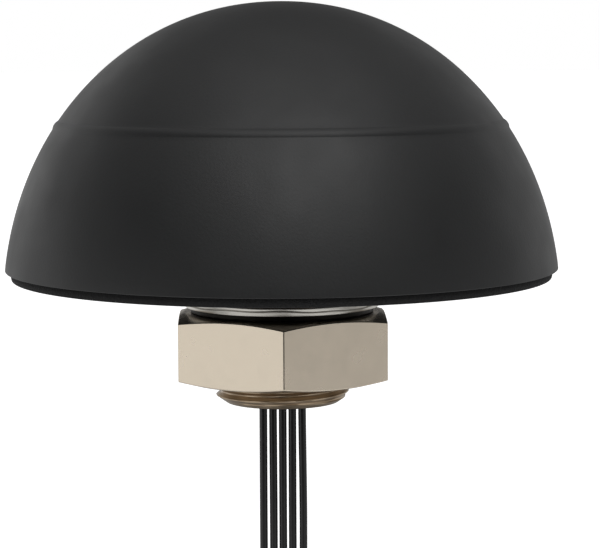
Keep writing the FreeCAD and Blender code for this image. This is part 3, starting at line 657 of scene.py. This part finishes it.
# The tails, (share of the way from the lead's place to the plug's, y, z): front row, then rear row
FRONT_TAIL = [(0.0, 9.4, -111), (0.35, 7.0, -115.6), (0.85, 0.6, -119.5), (1.0, 0.0, -123.5), (1.0, 0.0, -130)]
REAR_TAIL = [(0.0, 9.2, -110), (0.4, 9.0, -116), (1.0, 9.0046, -121), (1.0, 9.0046, -130)]
# How far each lead wanders sideways at its lowest point in sight, in millimetres
WANDER = {1: -0.05, 2: 0.06, 3: 0.0, 4: -0.04, 5: 0.3}


class ANTENNA_OT_leads(Operator):
    """Adds the five leads as smooth splines along their listed way and tails"""

    bl_idname = "antenna.leads"
    bl_label = "Leads"

    def execute(self, context):
        own = settings().leads
        for number in LEADS:
            start, end, row = lead_sides(own, number)
            points = [(start, y * MM, z * MM) for y, z in WAY]
            x, y, z = points[2]
            points[2] = (x + WANDER[number] * MM, y, z)
            tail = REAR_TAIL if row > own.diameter else FRONT_TAIL
            points += [(start + (end - start) * share, y * MM, z * MM) for share, y, z in tail]
            curve = bpy.data.curves.new(f"lead_{number}_jacket", "CURVE")
            curve.dimensions = "3D"
            spline = curve.splines.new("NURBS")
            spline.points.add(len(points) - 1)
            for point, place in zip(spline.points, points):
                point.co = (*place, 1.0)
            spline.order_u = 3
            spline.use_endpoint_u = True
            spline.resolution_u = 6
            curve.bevel_depth = own.diameter / 2
            curve.bevel_resolution = 4
            curve.use_fill_caps = True
            curve.materials.append(FINISHES["lead_jacket"])
            lead = bpy.data.objects.new(f"lead_{number}_jacket", curve)
            context.scene.collection.objects.link(lead)
            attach(lead, "root")
            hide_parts(f"lead_{number}", "lead_hank")
        return {"FINISHED"}


class ANTENNA_OT_inner_leads(Operator):
    """Adds the leads' inner stretches, from the potting up to their elements"""

    bl_idname = "antenna.inner_leads"
    bl_label = "Inner leads"

    def execute(self, context):
        own = settings().leads
        radius, bend = own.diameter / 2, own.inner_bend
        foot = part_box("ground_plane")[1].z
        circle = around(24)
        section = radius * np.stack([np.cos(circle), np.sin(circle)], axis=-1)
        quarter = np.linspace(0, TURN / 4, 14)
        for number in LEADS:
            low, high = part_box(f"lead_{number}_inner")
            start = Vector(((number - 3) * own.pitch, 0.0, low.z))
            if number == 3:
                centre = np.array([tuple(start), (start.x, 0.0, high.z)])
                ahead, side = np.array([[1.0, 0, 0]] * 2), np.array([0.0, 1, 0])
            else:
                # In the plane of the two runs: up, a quarter arc over, level, a quarter arc down, down
                level = high.z - radius
                ends = {1: (low.x + radius, 0.0), 2: (start.x, low.y + radius), 4: (start.x, high.y - radius)}
                end = Vector((*ends.get(number, (high.x - radius, 0.0)), foot))
                run = Vector((end.x - start.x, end.y - start.y))
                out = run.normalized()
                reach = [bend * (1 - np.cos(quarter)), run.length - bend * (1 - np.sin(quarter))]
                rise = [level - bend * (1 - np.sin(quarter)), level - bend * (1 - np.cos(quarter))]
                lean = np.concatenate([[0], quarter, quarter + TURN / 4, [TURN / 2]])
                along = np.concatenate([[0], *reach, [run.length]])
                height = np.concatenate([[start.z], *rise, [end.z]])
                centre = np.stack([start.x + along * out.x, along * out.y, height], axis=-1)
                ahead = np.stack([np.cos(lean) * out.x, np.cos(lean) * out.y, -np.sin(lean)], axis=-1)
                side = np.array([-out.y, out.x, 0.0])
            surface = swept(centre, ahead, np.broadcast_to(side, centre.shape), section)
            add_piece(
                f"lead_{number}_inner_jacket",
                [(surface, False)],
                FINISHES["lead_jacket"],
                nodes=[f"lead_{number}_inner"],
            )
        return {"FINISHED"}


def rounded_box(low, high, radius):
    """A box with rounded edges, shut by a pole in the middle of its top and its bottom.

    Each point is its corner's centre plus the radius times (cos t cos a, cos t sin a, sin t)."""
    angles = around(32) + TURN / 64
    tilt = np.linspace(-TURN / 4, TURN / 4, 12)[:, None]
    low, high = np.array(low), np.array(high)
    middle, half = (low + high) / 2, (high - low) / 2 - radius
    x = middle[0] + half[0] * np.sign(np.cos(angles)) + radius * np.cos(tilt) * np.cos(angles)
    y = middle[1] + half[1] * np.sign(np.sin(angles)) + radius * np.cos(tilt) * np.sin(angles)
    z = middle[2] + half[2] * np.sign(tilt) + radius * np.sin(tilt) + 0 * angles
    body = np.stack([x, y, z], axis=-1)
    ends = [np.broadcast_to([middle[0], middle[1], level], (1, 32, 3)) for level in (low[2], high[2])]
    return np.concatenate([ends[0], body, ends[1]])


class ANTENNA_OT_tie(Operator):
    """Adds the cable tie: its strap, its head, and the cut end that comes out of the head"""

    bl_idname = "antenna.tie"
    bl_label = "Cable tie"

    def execute(self, context):
        own = settings().leads
        thick = own.tie_thickness
        side = 2 * own.pitch + own.diameter / 2 + thick
        depth = TIE_HIGH.y
        middle, half = (TIE_LOW.z + TIE_HIGH.z) / 2, own.tie_width / 2
        # The strap goes round a rectangle with round corners, its own edges rounded too
        angles = around(64) + TURN / 128
        corner = 1.6 * MM
        edges = rounded([(-thick, -half), (0.0, -half), (0.0, half), (-thick, half)], 0.2 * MM)
        out, up = edges[:, :1], edges[:, 1:]
        x = np.sign(np.cos(angles)) * (side - corner) + (corner + out) * np.cos(angles)
        y = np.sign(np.sin(angles)) * (depth - corner) + (corner + out) * np.sin(angles)
        strap = np.stack([x, y, middle + up + 0 * angles], axis=-1)
        head_half = own.tie_head / 2
        head = rounded_box((side - thick, -head_half, TIE_LOW.z), (TIE_HIGH.x, head_half, TIE_HIGH.z), 0.6 * MM)
        near = side + own.tie_tail_gap
        tail = rounded_box(
            (near, -head_half - own.tie_tail, middle - half), (near + thick, head_half - 0.1 * MM, middle + half), 0.2 * MM
        )
        add_piece(
            "cable_tie",
            [(strap, True), (head, False), (tail, False)],
            FINISHES["tie_nylon"],
            nodes=["hank_tie"],
        )
        return {"FINISHED"}


class ANTENNA_OT_radome(Operator):
    """Adds the grained shell with its bead, rim and screw bosses"""

    bl_idname = "antenna.radome"
    bl_label = "Radome"

    def execute(self, context):
        own = settings().radome
        rim, crown = SHELL_LOW.z, SHELL_HIGH.z

        def outline(low, high, count, inset=0.0):
            """r = a cos(t)^(2/p) and z = level + b sin(t)^(2/p) between two heights."""
            b = crown - inset - own.outline_level
            limits = [np.arcsin(((z - own.outline_level) / b) ** (own.outline_power / 2)) for z in (low, high)]
            t = np.linspace(*limits, count)
            r = (own.outline_radius - inset) * np.maximum(np.cos(t), 0) ** (2 / own.outline_power)
            z = own.outline_level + b * np.sin(t) ** (2 / own.outline_power)
            if high == crown - inset:
                r[-1] = 0.0
            return np.stack([r, z], axis=-1)

        bead_low = own.bead_level - own.bead_height / 2
        bead_high = own.bead_level + own.bead_height / 2
        bead = outline(bead_low, bead_high, 13)
        along = bead[-1] - bead[0]
        outward = np.array([along[1], -along[0]]) / np.linalg.norm(along)
        share = np.linspace(-1, 1, 13)[:, None]
        bead = bead + outward * own.bead_proud * (1 - share**2)
        outside = outline(rim + own.rim_rounding, bead_low, 34)
        rim_out = outside[0] - np.array([0, own.rim_rounding])
        inside = outline(rim, crown - own.wall, 60, own.wall)
        rim_corners = np.stack([outside[1], rim_out, inside[0], inside[2]])
        rim_edge = rounded(rim_corners, own.rim_rounding * 0.7, 6, closed=False)[1:-1]
        profile = np.concatenate(
            [
                outline(bead_high, crown, 70)[::-1],
                bead[-2:0:-1],
                outside[:0:-1],
                rim_edge,
                inside[2:],
            ]
        )
        shell = turned(profile, around(256))
        finish = FINISHES["radome_abs"]
        add_piece("radome_skin", [(shell, False)], finish, nodes=["radome_shell"], sharp=30)

        angles = around(32)
        a = own.outline_radius - own.wall / 2
        b = crown - own.wall / 2 - own.outline_level
        bosses = []
        for k in range(4):
            spoke = TURN * (k + 0.5) / 4
            x, y = own.boss_circle * math.cos(spoke), own.boss_circle * math.sin(spoke)
            edge = np.hypot(x + own.boss_radius * np.cos(angles), y + own.boss_radius * np.sin(angles))
            top = own.outline_level + b * (1 - (edge / a) ** own.outline_power) ** (1 / own.outline_power)
            middle = own.outline_level + b * (1 - (own.boss_circle / a) ** own.outline_power) ** (
                1 / own.outline_power
            )
            foot = PLATE_LOW.z + 3 * MM
            corners = profile_round(
                angles,
                (0.0, foot + own.pilot_depth),
                (own.pilot_radius, foot + own.pilot_depth),
                (own.pilot_radius, foot),
                (own.boss_radius, foot),
                (own.boss_radius, top),
                (0.0, middle),
            )
            bosses.append((turned(rounded(corners, 0.15 * MM, 4, closed=False), angles, x, y), False))
        add_piece("radome_bosses", bosses, finish, nodes=["radome_shell"])
        return {"FINISHED"}


class ANTENNA_OT_gasket(Operator):
    """Adds the foam ring with its soft edges"""

    bl_idname = "antenna.gasket"
    bl_label = "Gasket"

    def execute(self, context):
        outer, low, high = GASKET_HIGH.x, GASKET_LOW.z, GASKET_HIGH.z
        inner = 17.6 * MM
        middle = (low + high) / 2
        bulge = 0.2 * MM
        corners = [
            (inner, low), (outer - bulge, low), (outer, middle), (outer - bulge, high), (inner, high),
            (inner - bulge / 2, middle),
        ]  # fmt: skip
        profile = rounded(corners, 0.35 * MM, 6)
        add_piece(
            "foam_gasket",
            [(turned(profile, around(192)), True)],
            FINISHES["gasket_foam"],
            nodes=["mounting_gasket"],
        )
        return {"FINISHED"}


class ANTENNA_OT_washers(Operator):
    """Adds the stamped flat washer and the toothed lock washer"""

    bl_idname = "antenna.washers"
    bl_label = "Washers"

    def execute(self, context):
        own = settings().fasteners
        finish = FINISHES["washer_steel"]
        outer, low, high = FLAT_HIGH.x, FLAT_LOW.z, FLAT_HIGH.z
        angles = around(288)
        # The cut edge has a smooth half, then a step that wanders, then a torn half. Both lean outwards
        step = low + (high - low) * (0.5 + 0.1 * np.sin(3 * angles + 0.6) + 0.05 * np.sin(11 * angles))
        torn = outer - 0.12 * MM - 0.05 * MM * np.sin(17 * angles) * np.sin(5 * angles + 1)
        corners = profile_round(
            angles,
            (own.washer_bore, low),
            (torn - 0.2 * MM, low),
            (torn, step - 0.12 * MM),
            (outer - 0.38 * MM, step),
            (outer - 0.2 * MM, step + 0.15 * MM),
            (outer, high),
            (own.washer_bore, high),
        )
        cuts = np.array([0.15, 0.12, 0.08, 0.08, 0.08, 0.35, 0.2]) * MM
        flat = turned(rounded(corners, cuts, 5), angles)
        add_piece("stamped_washer", [(flat, True)], finish, "washers", ["flat_washer"])

        # A tooth is seven columns wide and its gap three, with steep sides between them
        share = np.array([0.0, 0.09, 0.18, 0.27, 0.36, 0.45, 0.54, 0.555, 0.7, 0.85, 0.985])
        tooth = np.array([1.0, 1, 1, 1, 1, 1, 1, 0, 0, 0, 0])
        twist = np.clip((share - 0.27) / 0.27, -1, 1) * tooth
        pitch = TURN / own.tooth_count
        angles = (np.arange(own.tooth_count)[:, None] + share[None, :]).reshape(-1) * pitch
        tooth = np.tile(tooth, own.tooth_count)
        rise = np.tile(twist, own.tooth_count) * own.tooth_twist
        outer, middle = LOCK_HIGH.x, (LOCK_LOW.z + LOCK_HIGH.z) / 2
        half = (LOCK_HIGH.z - LOCK_LOW.z) / 2 - own.tooth_twist
        root = own.lock_bore + own.tooth_depth
        tip = root - own.tooth_depth * tooth
        corners = profile_round(
            angles,
            (tip, middle - half + rise),
            (root + 0.1 * MM, middle - half),
            (outer, middle - half),
            (outer, middle + half),
            (root + 0.1 * MM, middle + half),
            (tip, middle + half + rise),
        )
        lock = turned(rounded(corners, 0.03 * MM, 3), angles)
        # This finish's dark base is partly painted shade for the shadow under the flat washer
        dark = FINISHES["spring_steel"]
        add_piece("lock_washer_teeth", [(lock, True)], dark, "washers", ["lock_washer"])
        return {"FINISHED"}


class ANTENNA_OT_stud(Operator):
    """Adds the hollow stud with its thread and flange"""

    bl_idname = "antenna.stud"
    bl_label = "Stud"

    def execute(self, context):
        own = settings().fasteners
        angles = around(180)
        end, top, seat = STUD_LOW.z, STUD_HIGH.z, PLATE_LOW.z
        z = np.linspace(end, seat, 182)[None, :]
        thread = own.crest_radius - thread_groove(angles[:, None], z, own)
        chamfer = own.end_radius + (z - end) * own.end_slope
        flank = np.minimum(thread, chamfer)
        threaded = np.stack([flank, np.broadcast_to(z, flank.shape)], axis=-1)
        side = STUD_HIGH.y
        flange = np.minimum(side, own.flange_half_flats / np.maximum(np.abs(np.cos(angles)), 1e-6))
        plate = seat + 3 * MM
        upper = profile_round(
            angles,
            (own.crest_radius - 0.1 * MM, seat + 0.3 * MM),
            (own.crest_radius - 0.1 * MM, plate),
            (flange, plate),
            (flange, top),
            (own.stud_bore, top),
            (own.stud_bore, end),
            (own.end_radius, end),
        )
        upper = rounded(upper, 0.2 * MM, 4, closed=False)[:, :-1]
        profile = np.concatenate([threaded, upper], axis=1)
        add_piece(
            "rolled_stud",
            [(turned(profile, angles), True)],
            FINISHES["nickel_stud"],
            nodes=["threaded_stud"],
        )
        return {"FINISHED"}


def chamfered_nut(angles, low, high, flats, corner, chamfer_radius, degrees, edge):
    """The outside of a hexagonal nut, (angles, points, 2), from its upper bore edge to its lower one.

    Above the chamfer's start the face falls as (r - start) tan(slope) out to the hexagon's side."""
    reach = hexagon_radius(angles, flats, corner)
    drop = (reach - chamfer_radius) * math.tan(math.radians(degrees))
    inner = chamfer_radius - 3 * edge
    corners = profile_round(
        angles,
        (inner, high),
        (chamfer_radius, high),
        (reach, high - drop),
        (reach, low + drop),
        (chamfer_radius, low),
        (inner, low),
    )
    return rounded(corners, edge, 6, closed=False)


class ANTENNA_OT_nut(Operator):
    """Adds the hexagonal nut with its inner thread"""

    bl_idname = "antenna.nut"
    bl_label = "Nut"

    def execute(self, context):
        own = settings().fasteners
        angles = hexagon_angles(40)
        clocked = angles + math.radians(own.nut_clocking)
        low, high = NUT_LOW.z, NUT_HIGH.z
        outside = chamfered_nut(
            angles, low, high, own.nut_flats, own.nut_corner, own.nut_chamfer_radius, own.nut_chamfer_degrees,
            0.22 * MM,
        )  # fmt: skip
        z = np.linspace(low, high, 110)[None, :]
        crest = own.crest_radius + own.thread_gap
        thread = crest - thread_groove(clocked[:, None], z, own)
        mouth = crest + own.nut_mouth - np.minimum(z - low, high - z)
        bore = np.maximum(thread, mouth)
        inside = np.stack([bore, np.broadcast_to(z, bore.shape)], axis=-1)
        profile = np.concatenate([outside, inside], axis=1)
        add_piece(
            "machined_nut",
            [(turned(profile, clocked), True)],
            FINISHES["nickel_nut"],
            "mounting_nut",
            ["hex_nut"],
            sharp=25,
        )
        return {"FINISHED"}


class ANTENNA_OT_plugs(Operator):
    bl_idname = "antenna.plugs"
    bl_label = "Plugs"

    def execute(self, context):
        own = settings().leads
        for number in LEADS:
            start, x, y = lead_sides(own, number)
            pieces = [self.add_boot(number, x, y), self.add_body(number, x, y), self.add_nut(number, x, y)]
            if number == 3:
                pieces.append(bpy.data.objects["cable_tie"])
        return {"FINISHED"}

    def revolve(self, name, corners, cut, x, y, slot, node, body="root"):
        """One turned part of a plug."""
        profile = rounded(np.array(corners) * MM, cut * MM, 4)
        surface = turned(profile, around(48), x, y)
        return add_piece(name, [(surface, True)], FINISHES[slot], body, [node])

    def add_boot(self, number, x, y):
        corners = [
            (0.9, -126), (1.7, -126), (2.05, -128), (2.4, -131.2), (2.4, -138), (1.6, -138), (1.6, -131), (0.9, -131),
        ]  # fmt: skip
        return self.revolve(f"plug_{number}_boot", corners, 0.12, x, y, "boot_sleeve", "plug_boots")

    def add_body(self, number, x, y):
        corners = [
            (0.3, -131), (1.6, -131), (1.6, -138), (2.7, -138), (2.7, -142), (2.55, -142.05), (2.55, -144.2),
            (2.95, -144.2), (2.95, -145), (2.45, -145), (2.45, -149.4), (2.05, -149.4), (2.05, -139), (0.3, -139),
        ]  # fmt: skip
        return self.revolve(f"plug_{number}_sleeve", corners, 0.04, x, y, "plug_gold", f"plug_{number}_body")

    def add_nut(self, number, x, y):
        low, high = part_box(f"plug_{number}_nut")[0].z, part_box(f"plug_{number}_nut")[1].z
        angles = hexagon_angles(14)
        outside = chamfered_nut(angles, low, high, 8 * MM, 0.15 * MM, 3.95 * MM, 30, 0.08 * MM)
        back = high - 1.5 * MM
        z = np.linspace(low, back, 70)[None, :]
        thread = 3.05 * MM + 0.25 * MM * np.cos(TURN * (z / (0.7 * MM) - angles[:, None] / TURN))
        mouth = 3.3 * MM - (z - low)
        bore = np.maximum(thread, mouth)
        inside = np.stack([bore, np.broadcast_to(z, bore.shape)], axis=-1)
        neck = profile_round(angles, (2.62 * MM, back), (2.62 * MM, high - 0.2 * MM), (2.9 * MM, high))
        profile = np.concatenate([outside, inside, neck], axis=1)
        return add_piece(
            f"plug_{number}_coupling",
            [(turned(profile, angles, x, y), True)],
            FINISHES["plug_gold"],
            f"plug_nut_{number}",
            [f"plug_{number}_nut"],
        )


class ANTENNA_OT_carried_over(Operator):
    """Gives every part that keeps its own shape its finish"""

    bl_idname = "antenna.carried_over"
    bl_label = "Parts that keep their shape"

    def execute(self, context):
        for node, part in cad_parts.items():
            if part.hide_render:
                continue
            slot = KEPT_FINISHES.get(node)
            if slot is None:
                raise ValueError(f"{node} has no finish")
            part.data.materials.clear()
            part.data.materials.append(FINISHES[slot])
        return {"FINISHED"}


KEPT_FINISHES = {
    "base_plate": "base_moulding",
    "shell_seal": "seal_rubber",
    "stud_seal": "seal_rubber",
    "shell_screws": "screw_steel",
    "ground_plane": "plane_tinplate",
    "ground_plane_screws": "screw_steel",
    "cellular_element_left": "board_laminate",
    "cellular_element_right": "board_laminate",
    "wifi_element_front": "board_laminate",
    "wifi_element_rear": "board_laminate",
    "element_mast": "mast_nylon",
    "gnss_board": "board_laminate",
    "gnss_patch": "patch_ceramic",
    "gnss_shield_can": "plane_tinplate",
    "lead_gland": "potting_resin",
    "lead_guide": "mast_nylon",
    "lead_ferrules": "plug_gold",
    "plug_insulators": "plug_ptfe",
    "plug_pins": "plug_gold",
}


class ANTENNA_OT_finishes(Operator):
    """Makes every finish"""

    bl_idname = "antenna.finishes"
    bl_label = "Finishes"

    def execute(self, context):
        FINISHES.update(make_finishes())
        return {"FINISHED"}


OPERATORS = (
    ANTENNA_OT_stage,
    ANTENNA_OT_finishes,
    ANTENNA_OT_leads,
    ANTENNA_OT_inner_leads,
    ANTENNA_OT_tie,
    ANTENNA_OT_radome,
    ANTENNA_OT_gasket,
    ANTENNA_OT_washers,
    ANTENNA_OT_stud,
    ANTENNA_OT_nut,
    ANTENNA_OT_plugs,
    ANTENNA_OT_carried_over,
)


class ANTENNA_PT_panel(Panel):
    """Lists the steps in the 3D view's sidebar"""

    bl_idname = "ANTENNA_PT_panel"
    bl_label = "Dome antenna"
    bl_space_type = "VIEW_3D"
    bl_region_type = "UI"
    bl_category = "Antenna"

    def draw(self, context):
        for operator in OPERATORS:
            self.layout.operator(operator.bl_idname)


CLASSES = (
    RadomeSettings,
    FastenerSettings,
    LeadSettings,
    FinishSettings,
    StageSettings,
    AntennaSettings,
    *OPERATORS,
    ANTENNA_PT_panel,
)


def register():
    for each in CLASSES:
        bpy.utils.register_class(each)
    bpy.types.Scene.antenna = PointerProperty(type=AntennaSettings)


def unregister():
    del bpy.types.Scene.antenna
    for each in reversed(CLASSES):
        bpy.utils.unregister_class(each)


def main():
    """Builds everything in order."""
    register()
    for operator in OPERATORS:
        group, name = operator.bl_idname.split(".")
        getattr(getattr(bpy.ops, group), name)()


if __name__ == "__main__":
    main()
